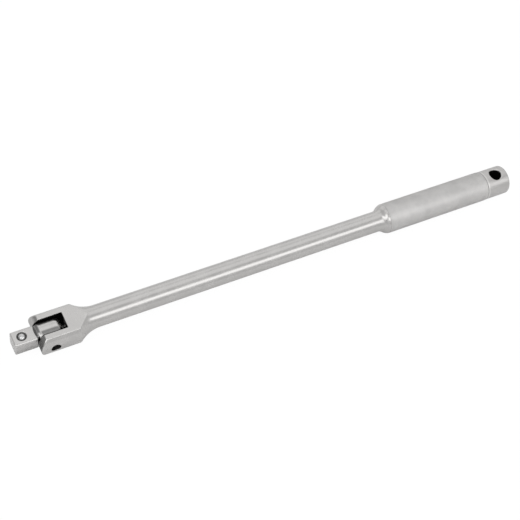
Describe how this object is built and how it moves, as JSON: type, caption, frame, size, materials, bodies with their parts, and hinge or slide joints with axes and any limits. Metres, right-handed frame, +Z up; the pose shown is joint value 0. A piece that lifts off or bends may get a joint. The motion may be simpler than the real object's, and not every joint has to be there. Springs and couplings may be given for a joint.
{
  "type": "breaker bar",
  "caption": "Half-inch square drive breaker bar: a steel bar with a knurled grip, ending in a fork that holds a swivelling drive head with a sprung retaining ball.",
  "frame": {"origin": "centre of the drive square's end face", "axes": "+X along the bar from the drive square to the hand end, Y along the head's pivot pin, +Z up out of the fork's upper flat, the side with the retaining ball"},
  "size_m": [0.424, 0.029, 0.0242],
  "materials": {
    "satin_chrome": "satin chrome plate, matt and dull over the knurl",
    "head_chrome": "satin chrome plate, a little brighter on the turned knuckle",
    "dark_steel": "dark oiled steel",
    "ball_steel": "polished bearing steel",
    "plunger_steel": "turned and hardened steel",
    "spring_steel": "oiled spring wire"
  },
  "bodies": {
    "bar": {"bar": "satin_chrome", "pivot_pin": "dark_steel", "plunger_spring": "spring_steel"},
    "drive_head": {"drive_head": "head_chrome", "detent_spring": "spring_steel"},
    "detent_ball": {"detent_ball": "ball_steel"},
    "friction_plunger": {"friction_plunger": "plunger_steel"}
  },
  "joints": [
    {"name": "head_swivel", "type": "hinge", "parent": "bar", "child": "drive_head", "pos_m": [0.027, 0, 0], "axis": [0, 1, 0], "range_deg": [-100, 100]},
    {"name": "detent_ball_press", "type": "slide", "parent": "drive_head", "child": "detent_ball", "axis": [0, 0, -1], "range_m": [0, 0.0011], "stiffness_N_per_m": 300, "springref_m": -0.002, "deforming": ["detent_spring"]},
    {"name": "plunger_press", "type": "slide", "parent": "bar", "child": "friction_plunger", "axis": [1, 0, 0], "range_m": [0, 0.0006], "stiffness_N_per_m": 300, "springref_m": -0.002}
  ]
}
